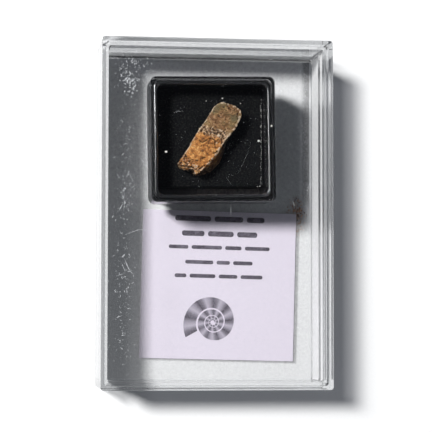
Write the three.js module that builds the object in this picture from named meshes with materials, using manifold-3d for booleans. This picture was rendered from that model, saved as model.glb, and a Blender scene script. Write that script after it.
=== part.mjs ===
// A tyrannosaurus tooth fragment in its collector's case.
//
// The fragment lies on a black foam pad in a small square gem box with a clear lid.
// The gem box and a printed label card lie on the floor of a clear two-part case.
// Millimetres, +Z up. The case is centred on the origin and stands on z = 0;
// X runs across the case and Y along it, with the gem box at the +Y end.

import * as THREE from 'three';
import { mergeVertices } from 'three/addons/utils/BufferGeometryUtils.js';
import Module from 'manifold-3d';

// ---------------------------------------------------------------- driving sizes

const CASE = {
  width: 57, length: 86, height: 22, corner: 0.8,
  seam: 14,            // height where the lid's skirt meets the base
  wall: 1,             // lid skirt
  floor: 1.25,
  plate: 1.25,         // lid top
  lip: 0.9,            // thickness of the lip that the lid slips over
  lipRise: 4.5,        // how far the lip stands up inside the lid
  slip: 0.1,           // clearance between lip and lid on each side
  edge: 0.3,           // rounding of the outer edges
  fillet: 0.6,         // rounding where the base's walls meet its floor
};

const GEM = {
  size: 31, height: 17.5, corner: 1.6,
  centre: [-0.85, 18.5], turn: 0.9,
  wall: 0.7, plate: 1.25, edge: 0.4,
  foot: 28.2,          // side of the base's body, which stands in under its flange
  tray: 1.5,           // thickness of the base's bottom
  flangeLow: 8.25, flangeTop: 9.5,     // the flange that the lid stands on
  slip: 0.15,          // clearance between the rim and the lid that goes over it
  rim: 1.05,           // thickness of the rim, which rises almost to the lid's ceiling
  rimTop: 15.8,        // above the gem box's underside
};

const FOAM = { slip: 0.2, top: 8.75, corner: 0.8, edge: 0.4 };

const LABEL = { width: 39.4, length: 37.7, thick: 0.25, centre: [2.65, -17.15], turn: -1.4, corner: 0.2 };

const TOOTH = {
  centre: [-0.23, 1.16],               // in the gem box, from its centre
  turn: 57.9,                          // of its long axis from the case's X axis
  around: 36,                          // points round a section
  between: 3,                          // rings from one section to the next
  wander: 0.16,                        // unevenness of the broken faces
  crumble: 0.5,                        // extra unevenness at the crumbling end
  crumbleFrom: 6.5, crumbleFull: 9.5,  // distance from the middle where it sets in
};

// The fragment's sections, from the crumbling end to the smooth end. at: place along
// its axis; left and right: edges of the upper face; foot: how far the broken side
// slopes out; base and top: heights of the underside and of the crown; skew: lean.
const TOOTH_SECTIONS = [
  { at: -10.3, left: 1.9, right: 0.3, foot: -0.1, base: 1.3, top: 2.7, skew: 0.05 },
  { at: -9.95, left: 2.8, right: -0.9, foot: -1.6, base: 0.6, top: 3.7, skew: 0.05 },
  { at: -9.2, left: 3.4, right: -1.8, foot: -2.9, base: 0.1, top: 4.5, skew: 0.05 },
  { at: -8.1, left: 3.45, right: -2.3, foot: -4.1, base: 0, top: 4.9, skew: 0 },
  { at: -6.2, left: 3.4, right: -2.9, foot: -5.0, base: 0, top: 5.1, skew: 0 },
  { at: -3.7, left: 3.4, right: -3.25, foot: -5.6, base: 0, top: 5.3, skew: 0 },
  { at: -1.0, left: 3.5, right: -3.4, foot: -5.1, base: 0, top: 5.4, skew: 0 },
  { at: 1.6, left: 3.25, right: -3.5, foot: -4.3, base: 0, top: 5.3, skew: 0 },
  { at: 4.2, left: 3.1, right: -4.0, foot: -4.2, base: 0, top: 5.2, skew: 0 },
  { at: 6.6, left: 3.2, right: -4.2, foot: -4.3, base: 0, top: 5.0, skew: 0 },
  { at: 8.6, left: 2.9, right: -4.0, foot: -3.9, base: 0.2, top: 4.7, skew: -0.06 },
  { at: 9.75, left: 2.1, right: -3.4, foot: -3.2, base: 0.8, top: 4.2, skew: -0.14 },
  { at: 10.2, left: 0.9, right: -2.4, foot: -2.2, base: 1.7, top: 3.4, skew: -0.18 },
];

// ---------------------------------------------------------------- materials

const clear = (color) => new THREE.MeshStandardMaterial({
  color, roughness: 0.06, metalness: 0, transparent: true, opacity: 0.35,
});
const solid = (color, roughness) => new THREE.MeshStandardMaterial({ color, roughness, metalness: 0 });

const finishes = {
  caseBase: clear('#dfe3e6'),
  caseLid: clear('#e6eaec'),
  gemBase: solid('#0e0f12', 0.2),
  gemLid: clear('#e9edf0'),
  foam: solid('#0b0c0e', 0.95),
  card: solid('#e4dcea', 0.8),
  tooth: solid('#b08052', 0.75),
};

// ---------------------------------------------------------------- solid tools

const wasm = await Module();
wasm.setup();

function toManifold(geometry) {
  const bare = geometry.clone();
  bare.deleteAttribute('normal');
  bare.deleteAttribute('uv');
  const merged = mergeVertices(bare, 1e-4);
  return new wasm.Manifold(new wasm.Mesh({
    numProp: 3,
    vertProperties: new Float32Array(merged.attributes.position.array),
    triVerts: new Uint32Array(merged.index.array),
  }));
}

function toGeometry(manifold) {
  const mesh = manifold.getMesh();
  const geometry = new THREE.BufferGeometry();
  geometry.setAttribute('position', new THREE.BufferAttribute(new Float32Array(mesh.vertProperties), 3));
  geometry.setIndex(new THREE.BufferAttribute(new Uint32Array(mesh.triVerts), 1));
  geometry.computeVertexNormals();
  return geometry;
}

function roundedRectangle(width, length, radius) {
  const x = width / 2;
  const y = length / 2;
  const shape = new THREE.Shape();
  shape.moveTo(x, y - radius);
  shape.absarc(x - radius, y - radius, radius, 0, Math.PI / 2, false);
  shape.absarc(-x + radius, y - radius, radius, Math.PI / 2, Math.PI, false);
  shape.absarc(-x + radius, -y + radius, radius, Math.PI, 1.5 * Math.PI, false);
  shape.absarc(x - radius, -y + radius, radius, 1.5 * Math.PI, 2 * Math.PI, false);
  return shape;
}

// An upright block between two heights; edge rounds its top and bottom outlines.
function block(width, length, radius, low, high, edge = 0) {
  const geometry = new THREE.ExtrudeGeometry(roundedRectangle(width, length, radius), {
    depth: high - low - 2 * edge,
    curveSegments: 5,
    bevelEnabled: edge > 0,
    bevelSize: edge,
    bevelThickness: edge,
    bevelOffset: -edge,
    bevelSegments: 3,
  });
  geometry.translate(0, 0, low + edge);
  return toManifold(geometry);
}

// ---------------------------------------------------------------- the clear case

const OVER = 2; // how far a cutting block runs past the face it opens

function caseBase() {
  const inset = CASE.wall + CASE.slip;
  const hollow = inset + CASE.lip;
  const middle = CASE.seam / 2;
  const lipTop = CASE.seam + CASE.lipRise;
  const foot = block(CASE.width, CASE.length, CASE.corner, 0, middle, CASE.edge);
  const body = block(CASE.width, CASE.length, CASE.corner, middle / 2, CASE.seam);
  const lip = block(CASE.width - 2 * inset, CASE.length - 2 * inset, CASE.corner, middle, lipTop);
  const cavity = block(CASE.width - 2 * hollow, CASE.length - 2 * hollow, CASE.corner,
    CASE.floor, lipTop + OVER, CASE.fillet);
  return toGeometry(foot.add(body).add(lip).subtract(cavity));
}

function caseLid() {
  const middle = (CASE.seam + CASE.height) / 2;
  const skirt = block(CASE.width, CASE.length, CASE.corner, CASE.seam, middle + CASE.wall);
  const top = block(CASE.width, CASE.length, CASE.corner, middle, CASE.height, CASE.edge);
  const cavity = block(CASE.width - 2 * CASE.wall, CASE.length - 2 * CASE.wall, CASE.corner,
    CASE.seam - OVER, CASE.height - CASE.plate, CASE.edge);
  return toGeometry(skirt.add(top).subtract(cavity));
}

// ---------------------------------------------------------------- the gem box

const gemHollow = GEM.size - 2 * GEM.wall;
const gemRimOuter = gemHollow - 2 * GEM.slip;
const gemRimInner = gemRimOuter - 2 * GEM.rim;

function gemBase() {
  const middle = (GEM.flangeLow + GEM.flangeTop) / 2;
  const foot = block(GEM.foot, GEM.foot, GEM.corner, 0, middle);
  const flange = block(GEM.size, GEM.size, GEM.corner, GEM.flangeLow, GEM.flangeTop);
  const rim = block(gemRimOuter, gemRimOuter, GEM.corner - GEM.wall, middle, GEM.rimTop);
  const cavity = block(gemRimInner, gemRimInner, FOAM.corner, GEM.tray, GEM.rimTop + OVER);
  return toGeometry(foot.add(flange).add(rim).subtract(cavity));
}

function gemLid() {
  const middle = (GEM.flangeTop + GEM.height) / 2;
  const skirt = block(GEM.size, GEM.size, GEM.corner, GEM.flangeTop, middle + GEM.wall);
  const top = block(GEM.size, GEM.size, GEM.corner, middle, GEM.height, GEM.edge);
  const cavity = block(gemHollow, gemHollow, GEM.corner - GEM.wall / 2,
    GEM.flangeTop - OVER, GEM.height - GEM.plate, GEM.edge / 2);
  return toGeometry(skirt.add(top).subtract(cavity));
}

function foamPad() {
  const side = gemRimInner - 2 * FOAM.slip;
  return toGeometry(block(side, side, FOAM.corner, GEM.tray, FOAM.top, FOAM.edge));
}

// ---------------------------------------------------------------- the label

function labelCard() {
  return toGeometry(block(LABEL.width, LABEL.length, LABEL.corner, 0, LABEL.thick));
}

// ---------------------------------------------------------------- the tooth fragment

// Smooth, repeatable unevenness between -1 and 1, from a few crossed waves.
function unevenness(x, y, z) {
  return (Math.sin(2.1 * x + 1.3 * y) + Math.sin(1.7 * y - 2.3 * z + 1.9) + Math.sin(2.9 * z + 1.1 * x + 0.7)
    + Math.sin(4.3 * x - 3.1 * y + 2.2 * z)) / 4;
}

function sectionBetween(a, b, t) {
  const mixed = {};
  for (const key of Object.keys(a)) mixed[key] = THREE.MathUtils.lerp(a[key], b[key], t);
  return mixed;
}

// One section as a closed smooth curve through its edges and feet.
function sectionCurve(s) {
  const middle = (s.left + s.right) / 2;
  const slope = (s.right + s.foot) / 2;
  const corners = [
    [s.left - 0.5, 0], [s.left - 0.1, 0.25], [s.left + 0.05, 0.6], [s.left - 0.05, 0.86],
    [s.left - 0.6, 0.95], [middle, 1], [s.right + 0.7, 0.96], [s.right + 0.05, 0.85],
    [slope, 0.55], [s.foot + 0.1, 0.2], [s.foot + 0.7, 0], [middle, 0],
  ];
  const points = corners.map(([across, up]) => new THREE.Vector3(
    s.at + s.skew * (across - middle), across, THREE.MathUtils.lerp(s.base, s.top, up),
  ));
  return new THREE.CatmullRomCurve3(points, true, 'centripetal');
}

function sectionRings() {
  const rings = [];
  for (let i = 0; i + 1 < TOOTH_SECTIONS.length; i += 1) {
    for (let step = 0; step < TOOTH.between; step += 1) {
      rings.push(sectionBetween(TOOTH_SECTIONS[i], TOOTH_SECTIONS[i + 1], step / TOOTH.between));
    }
  }
  rings.push(TOOTH_SECTIONS.at(-1));
  return rings;
}

// The underside keeps its flat spot; every other point wanders in and out a little.
function roughened(p) {
  const { wander, crumble, crumbleFrom, crumbleFull } = TOOTH;
  const loose = THREE.MathUtils.smoothstep(-p.x, crumbleFrom, crumbleFull) * crumble;
  const push = (wander + loose / 2) * unevenness(p.x, p.y, p.z);
  const lengthwise = loose * unevenness(1.4 * p.y, 1.2 * p.z, 3);
  const flat = p.z < 0.05;
  return [p.x + lengthwise, p.y + Math.sign(p.y) * push, flat ? Math.max(0, p.z) : Math.max(0, p.z + push)];
}

function toothFragment() {
  const rings = sectionRings();
  const last = rings.length - 1;
  const positions = [];
  for (const ring of rings) {
    const points = sectionCurve(ring).getPoints(TOOTH.around).slice(0, TOOTH.around);
    for (const point of points) positions.push(...roughened(point));
  }
  for (const ring of [rings[0], rings[last]]) {
    positions.push(...roughened(new THREE.Vector3(
      ring.at * 1.01, (ring.left + ring.right) / 2, (ring.base + ring.top) / 2,
    )));
  }

  const indices = [];
  const low = rings.length * TOOTH.around;
  const high = low + 1;
  for (let j = 0; j < TOOTH.around; j += 1) {
    const k = (j + 1) % TOOTH.around;
    indices.push(low, k, j, high, last * TOOTH.around + j, last * TOOTH.around + k);
    for (let i = 0; i < last; i += 1) {
      const a = i * TOOTH.around;
      const b = a + TOOTH.around;
      indices.push(a + j, a + k, b + j, b + j, a + k, b + k);
    }
  }
  const geometry = new THREE.BufferGeometry();
  geometry.setAttribute('position', new THREE.Float32BufferAttribute(positions, 3));
  geometry.setIndex(indices);
  geometry.computeVertexNormals();
  return geometry;
}

// ---------------------------------------------------------------- assembly

function piece(name, geometry, material) {
  const mesh = new THREE.Mesh(geometry, material);
  mesh.name = name;
  return mesh;
}

const fragment = piece('tooth_fragment', toothFragment(), finishes.tooth);
fragment.position.set(...TOOTH.centre, FOAM.top);
fragment.rotation.z = THREE.MathUtils.degToRad(TOOTH.turn - GEM.turn);

const gemBox = new THREE.Group();
gemBox.position.set(...GEM.centre, CASE.floor);
gemBox.rotation.z = THREE.MathUtils.degToRad(GEM.turn);
gemBox.add(
  piece('gem_box_base', gemBase(), finishes.gemBase),
  piece('gem_box_lid', gemLid(), finishes.gemLid),
  piece('foam_pad', foamPad(), finishes.foam),
  fragment,
);

const label = piece('label_card', labelCard(), finishes.card);
label.position.set(...LABEL.centre, CASE.floor);
label.rotation.z = THREE.MathUtils.degToRad(LABEL.turn);

const toothCase = new THREE.Group();
toothCase.add(
  piece('case_base', caseBase(), finishes.caseBase),
  piece('case_lid', caseLid(), finishes.caseLid),
  gemBox,
  label,
);

export default toothCase;
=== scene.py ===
"""A fossil tooth fragment in its collector's case.

The fragment lies on black foam in a small gem box, beside a printed card, in a
clear two-part case. Sizes are in millimetres until a piece is finished, which
scales it to metres. X runs across the case, Y along it and Z up.
"""

import math
import random

import bmesh
import bpy
from mathutils import Matrix, Vector, noise


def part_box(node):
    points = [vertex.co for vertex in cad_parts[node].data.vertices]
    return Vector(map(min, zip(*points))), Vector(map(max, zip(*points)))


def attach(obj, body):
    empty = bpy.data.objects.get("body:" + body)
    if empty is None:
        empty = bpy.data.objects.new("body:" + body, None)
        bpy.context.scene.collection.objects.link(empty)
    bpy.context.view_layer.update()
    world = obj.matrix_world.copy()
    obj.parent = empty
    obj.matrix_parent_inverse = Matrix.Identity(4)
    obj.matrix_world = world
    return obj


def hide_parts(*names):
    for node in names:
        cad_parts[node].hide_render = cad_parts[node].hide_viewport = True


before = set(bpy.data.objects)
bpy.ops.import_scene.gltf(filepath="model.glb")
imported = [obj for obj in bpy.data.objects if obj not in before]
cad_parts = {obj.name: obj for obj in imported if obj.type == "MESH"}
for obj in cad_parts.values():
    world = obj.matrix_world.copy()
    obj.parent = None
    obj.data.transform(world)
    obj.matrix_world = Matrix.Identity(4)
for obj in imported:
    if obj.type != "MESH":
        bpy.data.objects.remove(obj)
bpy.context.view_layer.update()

MM = 0.001
BODY = "root"
TO_METRES = Matrix.Diagonal((MM, MM, MM, 1))


def node_box(node):
    """A node's lowest and highest corner in millimetres."""
    low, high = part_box(node)
    return low / MM, high / MM


def turned_place(centre, turn, z=0.0):
    return Matrix.Translation((centre.x, centre.y, z)) @ Matrix.Rotation(turn, 4, "Z")


# ---------------------------- sizes

case_high = node_box("case_base")[1]
lid_low, lid_high = node_box("case_lid")
gem_base_high = node_box("gem_box_base")[1]
gem_lid_low, gem_lid_high = node_box("gem_box_lid")
foam_low, foam_high = node_box("foam_pad")
card_low, card_high = node_box("label_card")

AIR = 0.03             # the gap that two plastic faces keep where they meet

CASE_HALF_X = case_high.x
CASE_HALF_Y = case_high.y
CASE_CORNER = 0.8
CASE_SEAM = lid_low.z
SEAM_BELOW = 0.02      # the open line between base and lid, below and above the seam
SEAM_ABOVE = 0.06
CASE_TOP = lid_high.z
CASE_WALL = 1.0        # the lid's skirt
CASE_LIP_OUT = 1.1     # from the outside to the lip's outer face
CASE_LIP_IN = 1.8      # from the outside to the cavity
CASE_LIP_TOP = case_high.z
CASE_FLOOR = card_low.z
CASE_PLATE = 1.25      # the lid's top

GEM_HALF = 15.5
GEM_CORNER = 1.6
GEM_TURN = math.radians(0.9)
GEM_WALL = 0.7
GEM_PLATE = 1.25
GEM_TRAY_TOP = foam_low.z
GEM_TOP = gem_lid_high.z
GEM_FOOT = 1.4         # how far the base's body stands in under its flange
GEM_FLANGE_TOP = gem_lid_low.z
GEM_FLANGE_LOW = GEM_FLANGE_TOP - 1.25
GEM_RIM_OUT = GEM_WALL + 0.15
GEM_RIM_IN = GEM_RIM_OUT + 1.05
GEM_RIM_TOP = gem_base_high.z
GEM_RIM_ROUND = 0.5    # the rim's top edges
FOAM_INSET = GEM_RIM_IN + 0.2
FOAM_TOP = foam_high.z
gem_place = turned_place((gem_lid_low + gem_lid_high) / 2, GEM_TURN)

CARD_HALF_X = 19.7
CARD_HALF_Y = 18.85
CARD_TURN = math.radians(-1.4)
CARD_TOP = card_high.z
card_place = turned_place((card_low + card_high) / 2, CARD_TURN)

TOOTH_TURN = GEM_TURN + math.radians(57.9)
TOOTH_IN_GEM_BOX = Vector((-0.28, 0.74, 0))
tooth_centre = gem_place @ TOOTH_IN_GEM_BOX
tooth_place = turned_place(tooth_centre, TOOTH_TURN, FOAM_TOP)


# ---------------------------- shader tools

class Shader:
    """The node tree of a material or a world, with short ways to add nodes.

    A node's input takes a number, a colour or another node's output.
    """

    def __init__(self, name, world=False):
        self.owner = (bpy.data.worlds if world else bpy.data.materials).new(name)
        self.owner.use_nodes = True
        self.tree = self.owner.node_tree
        self.tree.nodes.clear()
        self.output = self.add("ShaderNodeOutputWorld" if world else "ShaderNodeOutputMaterial")
        self.place = self.add("ShaderNodeTexCoord").outputs["Generated" if world else "Object"]

    def add(self, kind, inputs=(), **settings):
        node = self.tree.nodes.new(kind)
        for key, value in settings.items():
            setattr(node, key, value)
        for key, value in dict(inputs).items():
            self.feed(node.inputs[key], value)
        return node

    def feed(self, socket, value):
        if isinstance(value, bpy.types.NodeSocket):
            self.tree.links.new(value, socket)
        else:
            socket.default_value = (*value, 1) if socket.type == "RGBA" else value

    def finish(self, surface):
        self.feed(self.output.inputs["Surface"], surface)
        return self.owner

    def principled(self, **inputs):
        """An input's name has _ for each space."""
        named = {key.replace("_", " "): value for key, value in inputs.items()}
        return self.add("ShaderNodeBsdfPrincipled", named).outputs["BSDF"]

    def opaque(self, **inputs):
        return self.finish(self.principled(**inputs))

    def axis(self, name):
        return self.add("ShaderNodeSeparateXYZ", {0: self.place}).outputs[name]

    def noise(self, per_mm, detail=3.0, roughness=0.55, place=None):
        return self.add("ShaderNodeTexNoise", {
            "Vector": self.place if place is None else place, "Scale": per_mm / MM, "Detail": detail,
            "Roughness": roughness,
        }).outputs["Fac"]

    def ramp(self, factor, stops):
        """A colour ramp; stops are (position, colour)."""
        node = self.add("ShaderNodeValToRGB", {"Fac": factor})
        elements = node.color_ramp.elements
        while len(elements) < len(stops):
            elements.new(0.5)
        for element, (position, colour) in zip(elements, stops):
            element.position = position
            element.color = (*colour, 1)
        return node.outputs["Color"]

    def levels(self, value, from_low, from_high, to_low=0.0, to_high=1.0):
        return self.add("ShaderNodeMapRange", {
            "Value": value, "From Min": from_low, "From Max": from_high,
            "To Min": to_low, "To Max": to_high,
        }).outputs["Result"]

    def maths(self, operation, a, b):
        return self.add("ShaderNodeMath", {0: a, 1: b}, operation=operation).outputs[0]

    def blend(self, factor, a, b):
        node = self.add("ShaderNodeMix", {0: factor}, data_type="RGBA")
        for socket, value in zip((s for s in node.inputs if s.type == "RGBA"), (a, b)):
            self.feed(socket, value)
        return next(s for s in node.outputs if s.type == "RGBA")

    def mix(self, factor, a, b):
        return self.add("ShaderNodeMixShader", {0: factor, 1: a, 2: b}).outputs["Shader"]

    def attribute(self, name):
        return self.add("ShaderNodeAttribute", attribute_name=name).outputs["Fac"]

    def bump(self, height, distance_mm, strength, **after):
        """after is Normal, with the bump that this one adds to."""
        return self.add("ShaderNodeBump", {
            "Height": height, "Distance": distance_mm * MM, "Strength": strength, **after,
        }).outputs["Normal"]


def mottled(name, grain, tones, roughness, ior, relief=None):
    """A dull surface whose tone follows its grain.

    grain is the noise's settings, and relief the depth and strength of its bump.
    """
    shader = Shader(name)
    height = shader.noise(*grain)
    bumps = {"Normal": shader.bump(height, *relief)} if relief else {}
    return shader.opaque(Base_Color=shader.ramp(height, tones), Roughness=roughness, IOR=ior, **bumps)


CLEAR_TINT = (0.985, 0.99, 0.995)
BOUNCE_SHARE = (0.93, 0.93, 0.93)      # share of bounced light that a clear face lets through
PALE_SCUFFS = (0.9, 0.9, 0.9)
SCUFF_PLAY = 0.1       # how far the scuffs' cover rises and falls


def clear_plastic(name, lamp_share, axis="X", tint=CLEAR_TINT, scuffed=0.0, scuff_tone=PALE_SCUFFS):
    """Moulded polystyrene that light for the room passes straight through.

    Bounced light passes nearly whole. lamp_share is how much of a lamp's light each
    face passes: a colour, or a list of (place on the axis, share) where it changes
    along the case. scuffed is the share of the face that fine scuffs cover, and
    scuff_tone their colour, or a function that gives it from the shader.
    """
    shader = Shader(name)
    ripple = shader.bump(shader.noise(0.35, detail=2.0), 0.008, 0.5)
    seen = shader.principled(
        Base_Color=tint, Roughness=0.0, IOR=1.57, Transmission_Weight=1.0, Normal=ripple,
    )
    if scuffed:
        tone = scuff_tone(shader) if callable(scuff_tone) else scuff_tone
        scuffs = shader.add("ShaderNodeBsdfDiffuse", {"Color": tone}).outputs["BSDF"]
        rubbed = shader.noise(1.3, detail=4.0, roughness=0.7)
        cover = shader.levels(rubbed, 0.3, 0.7, scuffed - SCUFF_PLAY, scuffed + SCUFF_PLAY)
        seen = shader.mix(cover, seen, scuffs)
    if isinstance(lamp_share, list):
        low, high = lamp_share[0][0], lamp_share[-1][0]
        stops = [((at - low) / (high - low), (share,) * 3) for at, share in lamp_share]
        lamp_share = shader.ramp(shader.levels(shader.axis(axis), low * MM, high * MM), stops)
    path = shader.add("ShaderNodeLightPath").outputs
    share = shader.blend(path["Is Diffuse Ray"], lamp_share, BOUNCE_SHARE)
    passing = shader.add("ShaderNodeBsdfTransparent", {"Color": share}).outputs["BSDF"]
    straight = shader.maths("MAXIMUM", path["Is Shadow Ray"], path["Is Diffuse Ray"])
    return shader.finish(shader.mix(straight, seen, passing))


# ---------------------------- mesh tools

def new_object(name, data):
    made = bpy.data.objects.new(name, data)
    bpy.context.scene.collection.objects.link(made)
    return made


def mesh_object(name, bm, materials):
    """Turns a bmesh in millimetres into an object in metres."""
    bmesh.ops.transform(bm, matrix=TO_METRES, verts=bm.verts)
    mesh = bpy.data.meshes.new(name)
    bm.to_mesh(mesh)
    bm.free()
    for material in materials:
        mesh.materials.append(material)
    return new_object(name, mesh)


def finished_piece(name, bm, materials, slot, *nodes, place=None):
    """A piece of the part, moved to its place, that stands for the nodes."""
    if place is not None:
        bmesh.ops.transform(bm, matrix=place, verts=bm.verts)
    piece = mesh_object(name, bm, materials)
    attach(piece, BODY)
    if nodes:
        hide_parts(*nodes)


def only_verts(parts):
    return [part for part in parts if isinstance(part, bmesh.types.BMVert)]


def draw_out(bm, edges):
    """Extrudes edges on the spot, and gives the new verts and the new edges between them."""
    made = bmesh.ops.extrude_edge_only(bm, edges=edges)["geom"]
    verts = only_verts(made)
    new = set(verts)
    made_edges = (part for part in made if isinstance(part, bmesh.types.BMEdge))
    return verts, [edge for edge in made_edges if new.issuperset(edge.verts)]


def round_off(bm, geom, radius, segments, affect="EDGES"):
    return bmesh.ops.bevel(
        bm, geom=geom, offset=radius, offset_type="OFFSET", segments=segments, profile=0.5, affect=affect,
        clamp_overlap=False, material=-1,
    )


def rounded_plate(bm, centre, half_x, half_y, corner, segments):
    """A flat face with round corners."""
    made = bmesh.ops.create_grid(
        bm, x_segments=1, y_segments=1, size=1.0,
        matrix=Matrix.Translation(centre) @ Matrix.Diagonal((half_x, half_y, 1, 1)),
    )
    return round_off(bm, made["verts"], corner, segments, "VERTICES")


def moulding(half_x, half_y, corner, steps, corner_segments=8, edge_segments=4):
    """A closed moulding, drawn up ring by ring from a flat face with round corners.

    Each step is (inset, z, radius): how far the ring lies inside the outline, its
    height, and the radius that its edge is rounded to.
    """
    bm = bmesh.new()
    inset, z, radius = steps[0]
    rounded_plate(bm, (0, 0, z), half_x - inset, half_y - inset, corner, corner_segments)
    ring = bm.edges[:]
    rounded = {radius: ring[:]}
    for next_inset, next_z, radius in steps[1:]:
        verts, ring = draw_out(bm, ring)
        shrink = ((half_x - next_inset) / (half_x - inset), (half_y - next_inset) / (half_y - inset), 1)
        bmesh.ops.scale(bm, vec=shrink, verts=verts)
        bmesh.ops.translate(bm, vec=(0, 0, next_z - z), verts=verts)
        rounded.setdefault(radius, []).extend(ring)
        inset, z = next_inset, next_z
    bmesh.ops.contextual_create(bm, geom=ring)
    bmesh.ops.recalc_face_normals(bm, faces=bm.faces)
    for radius, edges in rounded.items():
        if radius > 0:
            for face in round_off(bm, edges, radius, edge_segments)["faces"]:
                face.smooth = True
    return bm


def is_upright(normal):
    return abs(normal.z) < 0.3


def dress(bm, plain, finishes):
    """Gives each face the last finish whose test its middle and normal pass.

    Returns the materials that the faces' numbers stand for.
    """
    for face in bm.faces:
        middle, normal = face.calc_center_median(), face.normal
        for number, (_, wanted) in enumerate(finishes, start=1):
            if wanted(middle, normal):
                face.material_index = number
    return [plain] + [material for material, _ in finishes]


# ---------------------------- the clear case

LAMP_OPEN = (0.955, 0.955, 0.955)      # share of a lamp's light that a face lets through
LAMP_CAVITY = (0.04, 0.04, 0.045)      # the upright faces of the case's cavity
LAMP_LEFT = (0.4, 0.4, 0.4)            # the outer face towards the lamp
LAMP_LEFT_INNER = [(-43.0, 0.17), (-10.0, 0.12), (20.0, 0.06), (43.0, 0.04)]   # its inner face, along Y
LAMP_FAR = [(-28.5, 0.13), (-15.0, 0.3), (10.0, 0.45), (28.5, 0.65)]   # the outer face at the gem box's end
LAMP_LIP = (0.3, 0.3, 0.31)            # the lip's right inner face, which is thinner
LIT_FOOT_RIGHT = 2.6   # height below which the cavity's right face stays open to the lamp
LIT_FOOT_FRONT = 4.6   # the same for its front face
SCUFF_RIGHT = 0.82     # the right face, from its lit foot up to SCUFF_RIGHT_TOP and on the lip
SCUFF_RIGHT_TOP = 11.3
SCUFF_LIP_TOP = 16.6   # height to which the lip's right face is scuffed
SCUFF_FAR = 0.9        # the far face, up to SCUFF_FAR_TOP
SCUFF_FAR_TOP = 7.0
SCUFF_FLOOR = 0.5
SCUFF_LIP = 0.5        # the lip's top, to the left and at the gem box's end
SHADE_FOOT_COVER = 0.85       # the round corner at the far face's foot
# painted shade: dark grey laid over the far face's foot
SHADE_FOOT_TONE = (0.12, 0.12, 0.12)
FOOT_ROUND = 0.6       # where the cavity's walls meet the floor
FACE_SLACK = 0.05      # how far past a face's plane its parts' middles may lie
FACE_DEPTH = 0.2       # how far before that they may lie, which takes in the corners' first parts

FLOOR_PALE = (0.78, 0.78, 0.78)
# painted shadow: dark grey laid on the floor where the gem box's shadow reaches the right wall
FLOOR_PAINTED_SHADOW = (0.05, 0.05, 0.05)
FLOOR_SHADOW_X = (24.0, 25.3)   # where the painted shadow beside the gem box starts, and where it is full
FLOOR_SHADOW_Y = (1.0, 7.0)


def floor_scuffs_and_shadow(shader):
    """Pale scuffs, greyed by a painted shadow between the gem box and the right wall."""
    near_wall, beside_box = (
        shader.levels(shader.axis(name), low * MM, high * MM)
        for name, (low, high) in (("X", FLOOR_SHADOW_X), ("Y", FLOOR_SHADOW_Y))
    )
    return shader.blend(shader.maths("MULTIPLY", near_wall, beside_box), FLOOR_PALE, FLOOR_PAINTED_SHADOW)


case_plastic = clear_plastic("case_plastic", LAMP_OPEN)


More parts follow.
